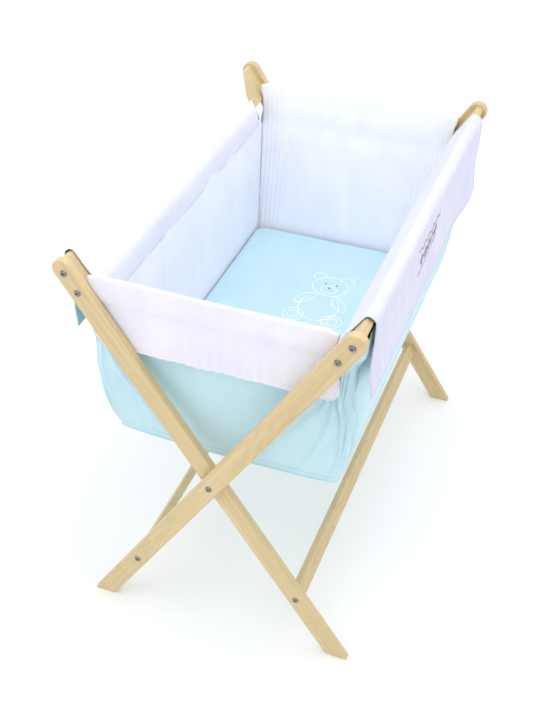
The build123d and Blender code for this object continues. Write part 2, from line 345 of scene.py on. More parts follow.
def bump(tree, height, distance, strength, normal=None):
    # a normal that leans with the slope of a height
    links = [("Height", height), ("Distance", distance), ("Strength", strength)]
    links += [("Normal", normal)] if normal else []
    return addNode(tree, "Bump", links).outputs[0]


def weaveGroup():
    # height: product of two sines plus slub threads; shade: cloudy noise; crease: noise drawn out one way
    tree, start, end = newGroup(
        "clothWeave",
        [("Vector", "Vector", None), ("Threads", "Float", 1100.0),
         ("Slub", "Float", 0.4), ("Cloud", "Float", 9.0)],
        [("Height", "Float"), ("Shade", "Float"), ("Crease", "Float")])
    place = start["Vector"]
    split = addNode(tree, "SeparateXYZ", [(0, place)]).outputs
    warp, weft = [maths(tree, "SINE", maths(tree, "MULTIPLY", split[k], start["Threads"])) for k in (0, 1)]
    slubs = [noise(tree, stretched(tree, place, along), 420.0, 1.0)
             for along in ((1.0, 0.06, 1.0), (0.06, 1.0, 1.0))]
    slub = maths(tree, "MULTIPLY", maths(tree, "ADD", *slubs), start["Slub"])
    height = maths(tree, "MULTIPLY_ADD", maths(tree, "MULTIPLY", warp, weft), 0.5, slub)
    crease = noise(tree, stretched(tree, place, (1.0, 0.28, 1.0)), 34.0, 4.0, 0.6)
    feed(tree, end, [("Height", height), ("Shade", noise(tree, place, start["Cloud"], 3.0, 0.55)),
                     ("Crease", crease)])
    return tree


def grainGroup():
    # long noise stretched along X for the bands, finer noise for pores, a thin dark line at the finger joint
    tree, start, end = newGroup(
        "woodGrain",
        [("Vector", "Vector", None), ("Light", "Color", (0.8, 0.63, 0.38, 1)),
         ("Dark", "Color", (0.6, 0.42, 0.2, 1)), ("Joint", "Float", 9.0)],
        [("Colour", "Color"), ("Roughness", "Float"), ("Height", "Float")])
    place = start["Vector"]
    wander = noise(tree, stretched(tree, place, (1.6, 9.0, 9.0)), 1.0, 2.0)
    swayed = vectorMaths(tree, "SCALE", vectorMaths(tree, "MULTIPLY", place, (0.0, 1.0, 1.0)),
                         maths(tree, "MULTIPLY_ADD", wander, 0.55, 0.8))
    warped = vectorMaths(tree, "ADD", vectorMaths(tree, "MULTIPLY", place, (1.0, 0.0, 0.0)), swayed)
    bands = noise(tree, stretched(tree, warped, (0.9, 150.0, 150.0)), 1.0, 3.0, 0.62)
    broad = noise(tree, stretched(tree, warped, (1.4, 34.0, 34.0)), 1.0, 2.0, 0.5)
    pores = noise(tree, stretched(tree, place, (70.0, 1500.0, 1500.0)), 1.0, 1.0, 0.5)
    fleck = noise(tree, stretched(tree, place, (160.0, 620.0, 620.0)), 1.0, 2.0, 0.5)
    share = maths(tree, "MULTIPLY_ADD", remap(tree, bands, 0.36, 0.66), 0.55,
                  maths(tree, "MULTIPLY", remap(tree, broad, 0.3, 0.7), 0.45))
    colour = blendColour(tree, share, start["Light"], start["Dark"])
    colour = blendColour(tree, remap(tree, fleck, 0.60, 0.78, 0.0, 0.22), colour, (0.42, 0.27, 0.12))
    split = addNode(tree, "SeparateXYZ", [(0, place)]).outputs
    off = maths(tree, "ABSOLUTE", maths(tree, "SUBTRACT", split[0], start["Joint"]))
    line = remap(tree, off, 0.0009, 0.0003, 0.0, 0.55)
    height = maths(tree, "MULTIPLY_ADD", pores, 0.6, maths(tree, "MULTIPLY", share, 0.4))
    feed(tree, end, [("Colour", blendColour(tree, line, colour, (0.34, 0.2, 0.09))),
                     ("Roughness", maths(tree, "MULTIPLY_ADD", share, 0.12, 0.42)), ("Height", height)])
    return tree


weaveNodes, grainNodes = weaveGroup(), grainGroup()


def newMaterial(name, place):
    # a material with its principled shader and the coordinates its pattern follows
    material = bpy.data.materials.new(name)
    material.use_nodes = True
    tree = material.node_tree
    return material, tree, tree.nodes["Principled BSDF"], addNode(tree, "TexCoord").outputs[place]


def clothMaterial(name, colour, tint, cloud=9.0, crease=0.35, place="UV"):
    # base colour drifts towards its tint by the cloudy noise and is darkened a little along the crease noise
    # as painted shade; weave and fine creases feed the bump
    material, tree, shader, source = newMaterial(name, place)
    weave = addNode(tree, "Group", node_tree=weaveNodes)
    feed(tree, weave, [("Vector", source), ("Cloud", cloud)])
    height, shade, folds = [weave.outputs[label] for label in ("Height", "Shade", "Crease")]
    base = blendColour(tree, remap(tree, shade, 0.32, 0.70, 0.0, 0.6), colour, tint)
    feed(tree, shader, [
        # painted shade: up to 6 percent darker where the crease noise is high
        ("Base Color", vectorMaths(tree, "SCALE", base, remap(tree, folds, 0.25, 0.75, 1.0, 0.94))),
        ("Roughness", maths(tree, "MULTIPLY_ADD", shade, 0.1, 0.77)),
        ("Normal", bump(tree, folds, 0.0035, crease, bump(tree, height, 0.0001, 0.35))),
        ("Sheen Weight", 0.25), ("Sheen Roughness", 0.45), ("Specular IOR Level", 0.25)])
    return material


def woodMaterial(name, turn, shift, light, dark, joint):
    # the board's length is turned onto X, then the grain group colours it
    material, tree, shader, source = newMaterial(name, "Object")
    turned = addNode(tree, "Mapping", [("Vector", source), ("Rotation", turn), ("Location", shift)])
    grain = addNode(tree, "Group", node_tree=grainNodes)
    feed(tree, grain, [("Vector", turned.outputs[0]), ("Light", (*light, 1)), ("Dark", (*dark, 1)),
                       ("Joint", joint)])
    feed(tree, shader, [("Base Color", grain.outputs["Colour"]), ("Roughness", grain.outputs["Roughness"]),
                        ("Normal", bump(tree, grain.outputs["Height"], 0.0004, 0.25)),
                        ("Coat Weight", 0.12), ("Coat Roughness", 0.35)])
    return material


def plainMaterial(name, colour, second, rough, metal=0.0, scale=60.0, rise=0.0002):
    # small cloudy variation of colour and roughness, for metal, plastic, board and thread
    material, tree, shader, source = newMaterial(name, "Object")
    cloud = noise(tree, source, scale, 3.0, 0.6)
    feed(tree, shader, [("Base Color", blendColour(tree, cloud, colour, second)),
                        ("Roughness", maths(tree, "MULTIPLY_ADD", cloud, 0.16, rough - 0.08)),
                        ("Metallic", metal),
                        ("Normal", bump(tree, noise(tree, source, scale * 12, 2.0, 0.5), rise, 0.4))])
    return material


outsideWhite = clothMaterial("outsideWhiteCotton", (0.89, 0.885, 0.945), (0.76, 0.745, 0.93), 6.0)
# painted shade: the right sleeve and flap take a darker, bluer copy of the outside white, for the shade on
# their outer face
rightShadedWhite = clothMaterial("rightShadedWhiteCotton", (0.73, 0.74, 0.885), (0.62, 0.63, 0.86), 6.0)
insideWhite = clothMaterial("insideWhiteCotton", (0.935, 0.935, 0.99), (0.855, 0.855, 0.985), 6.0)
skirtBlue = clothMaterial("skirtBlueCotton", (0.60, 0.835, 0.905), (0.49, 0.735, 0.83), 5.0, 0.3)
# painted shade: the sleeves' and flaps' inner faces are a dark teal, the blue cloth as seen in the shade
# under the flaps
liningShadeBlue = clothMaterial("liningShadeBlueCotton", (0.36, 0.62, 0.72), (0.30, 0.54, 0.66), 12.0)
coverCyan = clothMaterial("coverCyanCotton", (0.545, 0.755, 0.83), (0.49, 0.705, 0.80), 6.0, 0.3)
ticking = clothMaterial("mattressTicking", (0.86, 0.88, 0.88), (0.78, 0.81, 0.82), 14.0, place="Object")
whiteThread = plainMaterial("whiteThread", (0.93, 0.94, 0.96), (0.86, 0.88, 0.93), 0.5, scale=300.0)
blueThread = plainMaterial("blueThread", (0.42, 0.62, 0.68), (0.36, 0.55, 0.62), 0.55, scale=300.0)
redThread = plainMaterial("redThread", (0.62, 0.13, 0.13), (0.5, 0.09, 0.1), 0.5, scale=300.0)
greyThread = plainMaterial("greyThread", (0.30, 0.31, 0.34), (0.22, 0.23, 0.26), 0.5, scale=300.0)
zincSteel = plainMaterial("zincSteel", (0.30, 0.31, 0.32), (0.20, 0.21, 0.22), 0.36, 1.0, 220.0, 0.0001)
nylon = plainMaterial("nylon", (0.75, 0.75, 0.73), (0.66, 0.66, 0.64), 0.5, 0.0, 150.0)
hardboard = plainMaterial("hardboard", (0.30, 0.19, 0.11), (0.22, 0.13, 0.07), 0.62, 0.0, 260.0, 0.0003)
print("materials made")

# wood and fittings
tilt = math.radians(57.67)   # the legs' angle above the floor
beech = {
    "light": (0.718, 0.568, 0.316), "dark": (0.583, 0.435, 0.213),
    "leanRight": (0, tilt, 0), "leanLeft": (0, math.pi - tilt, 0), "level": (0, 0, -math.pi / 2),
    "dowels": ((0.78, 0.6, 0.36), (0.66, 0.47, 0.25)),
    "footJoint": -0.395, "noJoint": 9.0, "pivotHeight": 0.4228,
    "boards": [   # node, turn, tone, finger joint
        ("near_outer_leg", "leanRight", 1.0, True), ("near_inner_leg", "leanLeft", 1.0, True),
        ("far_outer_leg", "leanLeft", 0.93, True), ("far_inner_leg", "leanRight", 0.93, True),
        ("left_rail", "level", 0.97, False), ("right_rail", "level", 0.97, False),
        ("left_stretcher", "level", 0.96, False), ("right_stretcher", "level", 0.96, False),
    ],
}


def finish(node, material):
    # a CAD node keeps its mesh and takes the material in every slot
    piece = nodes[node]
    for place in piece.material_slots:
        place.material = material
    if not piece.material_slots:
        piece.data.materials.append(material)


# the joint line is counted from the pivot, which lies this far along a leg from the origin
reach = beech["pivotHeight"] * math.sin(tilt)
for number, (node, turn, tone, jointed) in enumerate(beech["boards"]):
    joint = beech["footJoint"] + reach if jointed else beech["noJoint"]
    finish(node, woodMaterial("beech." + node, beech[turn], (0, 0.31 * number, 0.17 * number),
                              [c * tone for c in beech["light"]], [c * tone for c in beech["dark"]], joint))
dowelWood = woodMaterial("dowelWood", beech["level"], (0, 3.1, 1.7), *beech["dowels"], beech["noJoint"])
for node in nodes:
    if "dowels" in node:
        finish(node, dowelWood)
    if "bolts" in node or "nuts" in node:
        finish(node, zincSteel)
    if "washers" in node:
        finish(node, nylon)
print("wood and fittings finished")

# side sleeves and flaps
sideSheet = {
    "section": [   # outward distance and height, from the inner seam over the rail to the flap's edge
        (0.2258, 0.7470), (0.2244, 0.7720), (0.2245, 0.7980), (0.2320, 0.8130), (0.2590, 0.8545),
        (0.2668, 0.8675), (0.2735, 0.8722),
        (0.2815, 0.8695), (0.2895, 0.8635), (0.2908, 0.8540), (0.2888, 0.8260), (0.2850, 0.7900),
        (0.2848, 0.7500), (0.2862, 0.7200), (0.2885, 0.7000),
    ],
    "ends": {1: (0.400, 0.374), -1: (0.398, 0.396)},   # near and far, of the right and of the left
    "tuck": {1: (0.010, 0.022), -1: (0.004, 0.0)},   # how far the mouths' inner parts are cut back, likewise
    "gape": (0.045, 0.822, 0.034, 0.014, 0.80),   # left far mouth: depth, height, width, depth below, from
    "waist": {1: (0.016, 0.10), -1: (0.004, 0.12)},   # how far the ends draw in where the flap starts, width
    "crownHeight": 0.872, "flapHeight": 0.79, "innerHalf": 0.2226,
    "wave": 0.0042, "farWave": 0.006, "edgeWave": 0.0045, "tipLift": 0.004, "tipOut": 0.007,
    "cloth": 0.0016, "hemRadius": 0.0017,
    "rows": 84, "cols": 200,
}


def sideSurface(side):
    # section by length share v, carried along y by u; the flap waves outwards the more the lower it is
    line = rounded(sideSheet["section"])
    crown = shareAt(line, 1, sideSheet["crownHeight"])
    low = shareAt(line, 1, sideSheet["flapHeight"], last=True)
    near, far = sideSheet["ends"][side]
    nearTuck, farTuck = sideSheet["tuck"][side]
    depth, height, width, below, foot = sideSheet["gape"]
    draw, spread = sideSheet["waist"][side]

    def surface(u, v):
        # the point at u and v
        u, v = np.broadcast_arrays(u, v)
        x, z = sectionAt(line, v)
        inner = 1 - ease(v / crown)
        hang = ease((v - low) / (1 - low))
        cut = np.where(u > 0, farTuck, nearTuck) * inner ** 1.3
        if side < 0:     # the far mouth gapes where the end sheet's corner pulls it back
            gape = depth * bell(z, height, width) + below * ease((foot - z) / 0.03)
            cut = np.where(u > 0, gape * ease((crown - v) / 0.05), cut)
        y = np.where(u > 0, u * (far - cut - draw * bell(v, low, spread)), u * (near - cut))
        slack = ripple(y * 0.6, v * 0.25, 11 + side, pitch=0.10)
        small = ripple(y, v * 0.2, 23 + side, waves=12, pitch=0.035)
        farEnd = ease((y - 0.10) / 0.25)
        billow = sideSheet["farWave"] * farEnd * np.sin(y * 21 + 1.0)
        x = x + hang * (sideSheet["wave"] * (slack * 0.5 + 0.25) + billow)
        x = x + 0.0004 * small * (0.4 + hang) + 0.0007 * np.abs(slack) * inner
        z = z + hang * sideSheet["edgeWave"] * np.cos((y - 0.02) * 8.5) + 0.0005 * small * hang
        z = z + (side > 0) * hang * sideSheet["tipLift"] * ease((-0.28 - y) / 0.10)
        x = np.maximum(x, sideSheet["innerHalf"])
        x = x - (side < 0) * hang * sideSheet["tipOut"] * ease((-0.22 - y) / 0.12)
        return np.stack([side * x, y, z], -1)

    return surface


sideParts = {}
for side, word in bothSides:
    # the right sheet takes the copy of the white darkened as painted shade
    surface, outside = sideSurface(side), rightShadedWhite if side > 0 else outsideWhite
    sheet = clothPiece(word + "_sleeve_sheet", surfaceGrid(surface, sideSheet["rows"], sideSheet["cols"]),
                       outside, liningShadeBlue, sideSheet["cloth"], flip=side > 0)
    # hem down both ends and along the lower edge, a stitched row inside it and one along the rail
    v, u = np.linspace(0.52, 0.999, 60), np.linspace(-0.999, 0.999, 240)
    lift = -side * stitch["lift"]
    loop = [(-0.9985, v), (u, 0.9985), (0.9985, v[::-1])]
    upright = np.linspace(0.45, 0.955, 60)
    rows = [(u * 0.972, 0.955, lift), (-0.975, upright, lift), (0.975, upright, lift),
            (u * 0.985, 0.60, lift)]
    trims = edging(word, surface, loop, rows, sideSheet["hemRadius"], 0.8, outside)
    sideParts[side] = (surface, sheet, *trims)
    print(word, "sleeve and flap made")

# end sheets: liner, top fold and flap in one
endSheet = {
    "section": [   # outward distance and height, from the liner's foot over the top fold to the flap's edge
        (0.3692, 0.4500), (0.3740, 0.4920), (0.4070, 0.7830), (0.4122, 0.8270), (0.4130, 0.8385),
        (0.4172, 0.8432), (0.4212, 0.8385), (0.4217, 0.8270), (0.4217, 0.7925), (0.4210, 0.7870),
        (0.4192, 0.7835), (0.4190, 0.7780), (0.4200, 0.7550), (0.4206, 0.7200), (0.4210, 0.6910),
    ],
    "linerHalf": 0.2266, "topHalf": 0.2325, "notchHalf": 0.2260, "edgeHalf": 0.2325, "shift": 0.004,
    "topHeight": 0.8432, "stepHeight": 0.778, "edgeHeight": 0.6910, "notchHeight": 0.795, "notchDepth": 0.06,
    "cornerRadius": 0.022, "topSag": 0.0055, "pleat": 0.0016, "swell": 0.0022, "slack": 0.004,
    "foldBulge": 0.0030, "flapFolds": 0.0030,
    "cloth": 0.0015, "hemRadius": 0.0015, "cols": 150,
}


def endHalfWidth(v, top, line):
    # liner's width up to the notch, wider over the top fold, then the flap's, rounded at its lower corners
    z = sectionAt(line, v)[1]
    rise = ease((z - 0.800) / 0.032)
    inside = endSheet["linerHalf"] + (endSheet["topHalf"] - endSheet["linerHalf"]) * rise
    drop = ease((endSheet["notchHeight"] - z) / endSheet["notchDepth"])
    outside = (endSheet["notchHalf"] + (endSheet["topHalf"] - endSheet["notchHalf"]) * rise
               + (endSheet["edgeHalf"] - endSheet["notchHalf"]) * drop)
    r = endSheet["cornerRadius"]
    up = np.clip(z - endSheet["edgeHeight"], 0, r)
    outside = outside - (r - np.sqrt(np.maximum(r * r - (r - up) ** 2, 0)))
    return np.where(v < top, inside, outside)


def endSurface(end):
    # section by length share v, carried along x by u; pleats run up the liner beside its corners
    line = rounded(endSheet["section"])
    top = shareAt(line, 1, endSheet["topHeight"])
    band = shareAt(line, 1, endSheet["stepHeight"], last=True)

    def surface(u, v):
        # the point at u and v
        u, v = np.broadcast_arrays(u, v)
        y, z = sectionAt(line, v)
        drop = ease((endSheet["notchHeight"] - z) / endSheet["notchDepth"])
        x = u * endHalfWidth(v, top, line) - end * endSheet["shift"] * drop * (v > top)
        inside = 1 - ease((v - top + 0.05) / 0.05)
        outside = ease((v - top) / 0.08)
        middle = 1 - np.abs(u) ** 4
        # liner: fine pleats at the corners, dying towards the middle and the top band
        edge = ease((np.abs(u) - 0.45) / 0.5)
        tall = ease((z - 0.46) / 0.05) * (1 - 0.75 * ease((z - 0.718) / 0.040))
        pleat = np.cos(x * 560 + 2.2 * np.sin(z * 14 + end)) * edge * fade(u, 0.985, 0.015)
        soft = ripple(x, z * 0.35, 31 + end, pitch=0.09)
        y = y - inside * tall * (endSheet["pleat"] * pleat + endSheet["swell"] * soft * middle
                                 + endSheet["slack"] * middle)
        y = y - inside * 0.0022 * bell(z, 0.785, 0.030) * middle    # soft band under the top edge
        # flap: padded fold above a shallow step, then soft upright pleats
        clear = 1 - ease((x * end - 0.07) / 0.06)    # the inner leg passes close in front of the rest
        y = y + outside * endSheet["foldBulge"] * bell(z, 0.8080, 0.021) * middle * clear
        hang = ease((v - band) / (1 - band))
        folds = ripple(x, z * 0.15, 41 + end, waves=10, pitch=0.055)
        between = bell(x, 0.01, 0.12)
        y = y + outside * hang * (endSheet["flapFolds"] * between * (0.6 + 0.5 * folds))
        y = y + outside * 0.0010 * between * np.cos(x * 330 + 3 * z) * hang
        z = z + outside * hang * 0.0008 * np.cos(x * 17 + end)
        z = z - 0.003 * bell(v, top, 0.06) * bell(x, 0.02, 0.16)
        z = z - endSheet["topSag"] * ease((np.abs(u) - 0.90) / 0.10) * bell(v, top, 0.05)
        return np.stack([x, end * y, z], -1)

    return surface


endParts = {}
line = rounded(endSheet["section"])
top = shareAt(line, 1, endSheet["topHeight"])
low = shareAt(line, 1, 0.78, last=True)
band = shareAt(line, 1, 0.735)
for end, word in bothEnds:
    surface = endSurface(end)
    v = np.concatenate([np.linspace(0, 0.9, 120), 0.9 + 0.1 * np.linspace(0, 1, 40)[1:]])
    u = np.linspace(-1, 1, endSheet["cols"])
    sheet = clothPiece(word + "_end_sheet", surface(*np.meshgrid(u, v)), outsideWhite, None,
                       endSheet["cloth"], flip=end < 0)
    sheet.data.materials.append(insideWhite)     # up to the top fold it is the liner
    sheet.data.polygons.foreach_set("material_index", np.repeat(v[1:] < top, len(u) - 1).astype(np.int32))
    sideV = np.concatenate([np.linspace(low, 0.9, 60), 1 - 0.1 * (1 - np.linspace(0, 1, 40)) ** 2])
    lift = end * stitch["lift"]
    loop = [(-0.9995, sideV), (u * 0.999, 0.9995), (0.9995, sideV[::-1])]
    upright = np.linspace(low, 0.975, 60)
    rows = [(u * 0.93, 0.982, lift), (u * 0.985, low - 0.002, end * 0.0002), (-0.965, upright, lift),
            (0.965, upright, lift), (u * 0.985, band, lift)]
    trims = edging(word, surface, loop, rows, endSheet["hemRadius"], 0.75, outsideWhite)
    endParts[end] = (surface, sheet, *trims)
    print(word, "end sheet made")

# side liners
sideLiner = {
    "section": [(0.2262, 0.4500), (0.2262, 0.7900), (0.2272, 0.8000), (0.2380, 0.8180)],
    "footHalf": 0.3685, "footHeight": 0.45, "wallHeight": 0.384, "widening": 0.0445,
    "slotFoot": 0.742, "slotDepth": 0.046, "pleat": 0.0016, "slack": 0.0036, "swell": 0.0026,
    "cloth": 0.0010,
    "rows": 110, "cols": 220,
}


def linerSurface(side):
    # wall by v, carried along y by u; slack swells into the basket, pleats run up it beside the corners
    line = rounded(sideLiner["section"], 2)

    def surface(u, v):
        # the point at u and v
        u, v = np.broadcast_arrays(u, v)
        x, z = sectionAt(line, v)
        half = (sideLiner["footHalf"]
                + (z - sideLiner["footHeight"]) / sideLiner["wallHeight"] * sideLiner["widening"])
        slot = sideLiner["slotDepth"] * ease((z - sideLiner["slotFoot"]) / 0.05) ** 0.7
        y = u * (half - slot)
        tall = ease((z - 0.455) / 0.06) * (1 - ease((z - 0.665) / 0.085))
        edge = ease((np.abs(y) - 0.22) / 0.15)
        middle = 1 - np.abs(u) ** 4
        pleat = np.cos(y * 430 + 2.5 * np.sin(z * 11 + side)) * edge * fade(u, 0.985, 0.015)
        broad = ripple(y, z * 0.25, 51 + side, waves=10, pitch=0.11)
        fine = ripple(y, z * 0.15, 61 + side, waves=14, pitch=0.03)
        slack = sideLiner["slack"] + sideLiner["swell"] * broad + 0.0007 * fine
        x = x - tall * (sideLiner["pleat"] * pleat + middle * slack)
        return np.stack([side * x, y, z], -1)

    return surface


linerSheets = {}
for side, word in bothSides:
    grid = surfaceGrid(linerSurface(side), sideLiner["rows"], sideLiner["cols"])
    linerSheets[side] = clothPiece(word + "_liner_sheet", grid, insideWhite, insideWhite,
                                   sideLiner["cloth"], flip=side > 0)
    print(word, "liner made")

# outer skirt, a sewn ring with gathered corners
skirt = {
    "foot": 0.4440,
    "sideProfile": [   # height and half width of the long sides, with a belly over the foot
        (0.444, 0.2292), (0.458, 0.2335), (0.475, 0.2385), (0.495, 0.2430), (0.530, 0.2500), (0.560, 0.2545),
        (0.620, 0.2590), (0.680, 0.2635), (0.730, 0.2695), (0.778, 0.2771), (0.840, 0.2812),
    ],
    "endProfile": [(0.444, 0.3729), (0.500, 0.3805), (0.778, 0.4118), (0.840, 0.4160)],
    "sideHigh": 0.835, "endHigh": 0.800, "slotLow": 0.742, "farLeftSlot": 0.010,
    "footRadius": 0.012, "topRadius": 0.018, "cornerAt": (0.262, 0.400),
    "neckDepth": 0.015, "sag": 0.0085, "smoother": 0.45, "cloth": 0.0014,
    "pleatFoot": 0.455, "pleatHeight": 0.245, "fanHeight": 0.235,
    "pipingLift": 0.0004, "pipingRadius": 0.0020, "stitchedRow": 3,
    "rows": 70, "sideCols": 150, "endCols": 110, "cornerCols": 12,
    "pleats": [   # distance from the corner at the neck and the foot, width, height
        (-0.005, -0.040, 0.0055, 0.0070), (0.001, 0.005, 0.0045, 0.0085),
        (0.007, 0.095, 0.0070, 0.0095), (0.012, 0.150, 0.0110, 0.0035),
    ],
}


def skirtRing():
    # round the rectangle: straight shares -1 to 1 on the sides and ends, quarter turns at the corners
    s, e = [np.linspace(-1, 1, skirt[k], endpoint=False) for k in ("sideCols", "endCols")]
    s, e = [0.45 * t + 0.55 * np.sin(t * math.pi / 2) for t in (s, e)]     # closer together at the corners
    q = np.linspace(0, math.pi / 2, skirt["cornerCols"], endpoint=False)
    i, j, k = np.ones(len(s)), np.ones(len(e)), np.ones(len(q))
    sx = np.concatenate([i, k, -e, -k, -i, -k, e, k])
    sy = np.concatenate([s, k, j, k, -s, -k, -j, -k])
    turn = np.concatenate([0 * s, q, 0 * e + math.pi / 2, q + math.pi / 2, 0 * s + math.pi, q + math.pi,
                           0 * e - math.pi / 2, q - math.pi / 2])
    return sx, sy, np.cos(turn), np.sin(turn)


def skirtPoints(rows):
    # height by v between the sagging foot and the shaped top; half widths follow the two profiles
    sx, sy, cx, cy = skirtRing()
    v = np.linspace(0, 1, rows)[:, None]
    refX, refY = skirt["cornerAt"]
    long = np.abs(cx) > np.abs(cy)
    fromCorner = np.where(long, np.abs(sy) * refY - refY, refX - np.abs(sx) * refX)
    bend = (np.abs(cx) < 0.9999) & (np.abs(cy) < 0.9999)
    fromCorner = fromCorner + np.where(bend, (np.abs(cy) - np.abs(cx)) * 0.012, 0)
    away = np.abs(fromCorner)
    onSide = (fromCorner < 0) & ~bend
    farLeft = (sx < 0) & (sy > 0)
    edge = np.where(farLeft, -0.004, 0.002)
    slot = ease((away - 0.034) / 0.040) + 1 - ease((away - edge) / 0.012)
    slotLow = skirt["slotLow"] - skirt["farLeftSlot"] * farLeft
    slot = slotLow + slot * (skirt["endHigh"] - slotLow)
    high = skirt["sideHigh"] + (skirt["endHigh"] - skirt["sideHigh"]) * ease(np.abs(cy) / 0.6)
    top = np.where(bend, high, np.where(onSide, skirt["sideHigh"], slot))
    middle = np.where(long, 1 - sy ** 2, 1 - sx ** 2)
    foot = skirt["foot"] - skirt["sag"] * np.sqrt(np.clip(middle, 0, 1)) * np.where(onSide, 0.4, 1.0)
    z = foot + v * (top - foot)
    profiles = [np.array(skirt[k]) for k in ("sideProfile", "endProfile")]
    a, b = [np.interp(z, p[:, 0], p[:, 1]) for p in profiles]
    neck = skirt["neckDepth"] * ease((z - 0.60) / 0.09) * (1 - ease((z - 0.765) / 0.02))
    a = a - neck * (1 - ease(away / 0.085))
    r = skirt["footRadius"] + (skirt["topRadius"] - skirt["footRadius"]) * v
    x, y = sx * (a - r) + cx * r, sy * (b - r) + cy * r
    side, end = np.where(sx > 0, 1, -1), np.where(sy > 0, 1, -1)
    down = 1 - ease((z - skirt["pleatFoot"]) / skirt["pleatHeight"])     # 0 at the neck, 1 at the foot
    fan = np.clip(1 - (z - skirt["pleatFoot"]) / skirt["fanHeight"], 0, 1)
    low = ease((z - foot) / 0.040)
    push = 0 * z
    for k, (neckAt, footAt, wide, high) in enumerate(skirt["pleats"]):
        vary = 1 + 0.22 * np.sin(3.1 * k + 1.7 * side + 2.9 * end)
        centre = neckAt + (footAt * vary - neckAt) * fan
        width = wide * (0.35 + 0.75 * fan)
        ridge = np.exp(-np.abs(fromCorner - centre) / width)
        ridge = ridge - 0.5 * bell(fromCorner, centre + 2.2 * width, width)
        push = push + high * vary * ridge * (0.15 + 0.85 * low) * (1 - 0.45 * down)
    push = push * np.where((side < 0) & (end < 0), skirt["smoother"], 1)     # the near left corner
    push = push * (1 - ease((z - 0.735) / 0.03))
    along = np.where(long, y, x)
    broad = ripple(along + 0.3 * side + 0.7 * end, z, 71, waves=8, pitch=0.22)
    hatch = np.cos((along * side * 0.8 - z) * 330 + 3 * np.sin(z * 21))
    hatch = hatch * bell(away, 0.040, 0.030) * bell(z, 0.57, 0.08)
    small = ripple(along, z * 0.5, 81, waves=14, pitch=0.06)
    body = ease((z - foot) / 0.05) * (1 - ease((z - 0.70) / 0.06))
    calm = np.where(onSide, ease((z - 0.50) / 0.14), 1)
    push = push + body * calm * (0.0014 * broad + 0.00035 * small + 0.0020 * middle) + body * 0.0006 * hatch
    push = push + 0.005 * bell(z, 0.515, 0.050) * (np.abs(cx) > 0.5) * (side < 0)
    push = np.maximum(push, -0.0007 - 0.003 * (1 - ease((away - 0.02) / 0.03)) * ease((z - 0.52) / 0.08))
    return np.stack([x + cx * push, y + cy * push, z + 0 * x], -1)


skirtGrid = skirtPoints(skirt["rows"])
skirtSheet = clothPiece("outer_skirt", skirtGrid, skirtBlue, skirtBlue, skirt["cloth"], closed=True)
footLine = skirtGrid[0] + np.array([0, 0, skirt["pipingLift"]])
outward = unit(footLine * np.array([1.0, 1.0, 0.0]))
piping = tubePiece("skirt_piping", [tube(footLine, outward, skirt["pipingRadius"], 1.0, 8, True)], skirtBlue)
hemLine = skirtGrid[skirt["stitchedRow"]] + outward * stitch["lift"]
ringed = [np.concatenate([line, line[:1]]) for line in (hemLine, outward)]
skirtStitching = tubePiece("skirt_stitching", [stitchRow(*ringed)], blueThread)

floorSheet = {
    "half": (0.2255, 0.3620), "height": 0.4440, "sag": 0.0085, "flatness": 0.72, "drop": 0.0006,
    "cloth": 0.0014, "count": (90, 130),
}


def floorPoints():
    # a rectangle that sags by the root of one less u to the fourth times one less v to the fourth
    u, v = np.meshgrid(*[np.linspace(-1, 1, k) for k in floorSheet["count"]])
    flatness = floorSheet["flatness"]
    reach = 1 - 0.012 * (u * v) ** 4
    x, y = u * floorSheet["half"][0] * reach, v * floorSheet["half"][1] * reach
    belly = np.sqrt((1 - flatness * u ** 4) * (1 - flatness * v ** 4)) - (1 - flatness)
    z = floorSheet["height"] - floorSheet["sag"] * belly / flatness + 0.0006 * ripple(x, y, 91, pitch=0.12)
    return np.stack([x, y, z - floorSheet["drop"]], -1)


floorCloth = clothPiece("basket_floor_sheet", floorPoints(), skirtBlue, skirtBlue, floorSheet["cloth"],
                        flip=True)
print("skirt and floor made")

# bedding
bedding = {
    "half": (0.2230, 0.3652), "corner": 0.024, "edge": 0.007, "top": 0.4862, "drop": 0.026,
    "crown": 0.0022, "count": (150, 230), "cloth": 0.0016,
    "pad": ((0.2165, 0.3585), 0.4525, 0.4790, 0.022, 0.010),   # half sizes, low, high, corner, edge
    "board": ((0.2200, 0.3620), 0.4462, 0.4500, 0.024, 0.0012),
    "puff": {"cap": 0.0030, "pressure": 4.0, "frames": 16, "voxel": 0.006},
}


def coverTop(x, y):
    # crown and soft unevenness of the cover's top: both ease off towards its edges
    near = np.minimum(bedding["half"][0] - np.abs(x), bedding["half"][1] - np.abs(y))
    soft = ripple(x, y, 101, 10, 0.16) * 0.0007 + ripple(x, y, 103, 12, 0.05) * 0.00025
    return bedding["crown"] * (ease(near / 0.05) - 1), soft * ease(near / 0.02)


